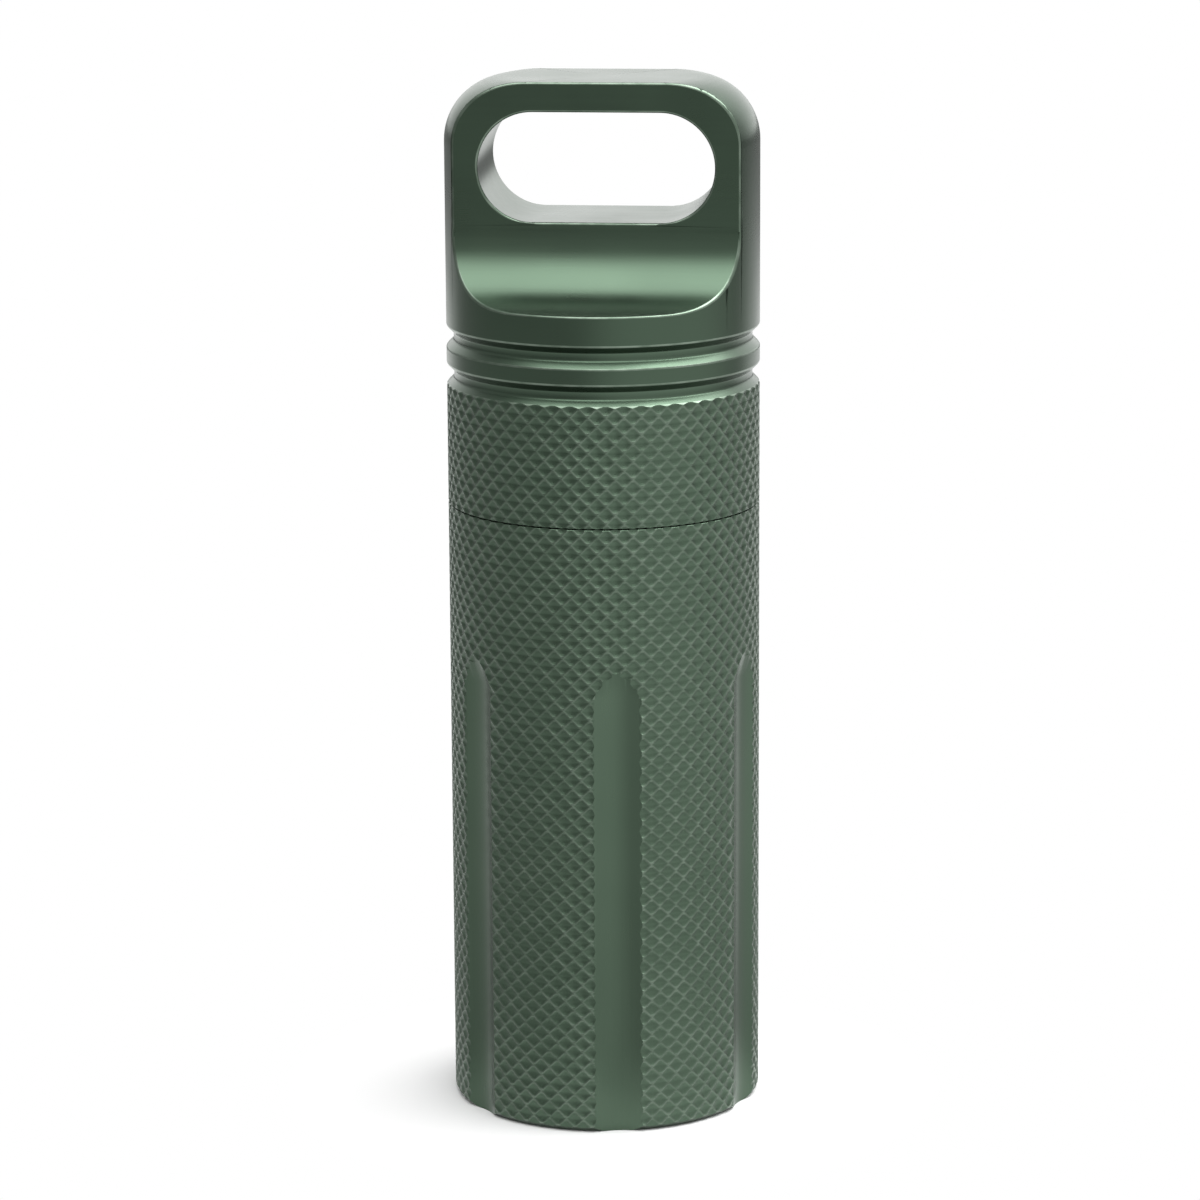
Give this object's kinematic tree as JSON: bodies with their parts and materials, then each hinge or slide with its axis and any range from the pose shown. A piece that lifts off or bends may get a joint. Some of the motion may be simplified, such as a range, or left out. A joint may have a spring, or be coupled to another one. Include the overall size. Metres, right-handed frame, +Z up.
{
  "type": "waterproof capsule",
  "caption": "Knurled aluminium pocket capsule with a hollow threaded cap, a sealing ring and a milled hanging loop.",
  "frame": {"origin": "middle of the flat base, on the axis of the tube", "axes": "+Z up along the tube's axis towards the loop; the loop's flat faces look along -Y and +Y, so the slot runs through along Y"},
  "size_m": [0.0254, 0.0254, 0.085],
  "materials": {
    "green_anodised_aluminium": "satin, dark green anodised",
    "black_rubber": "matte"
  },
  "bodies": {
    "tube": {"capsule_body": "green_anodised_aluminium"},
    "seal": {"o_ring": "black_rubber"},
    "cap": {"loop_cap": "green_anodised_aluminium"}
  },
  "joints": [
    {"name": "cap_lift", "type": "slide", "parent": "tube", "child": "seal", "axis": [0, 0, 1], "range_m": [0, 0.01613]},
    {"name": "cap_turn", "type": "hinge", "parent": "seal", "child": "cap", "pos_m": [0, 0, 0.05035], "axis": [0, 0, 1], "range_deg": [0, 3870]}
  ],
  "couplings": [
    {"joint": "cap_lift", "follows": "cap_turn", "m_per_rad": 0.00023873}
  ]
}
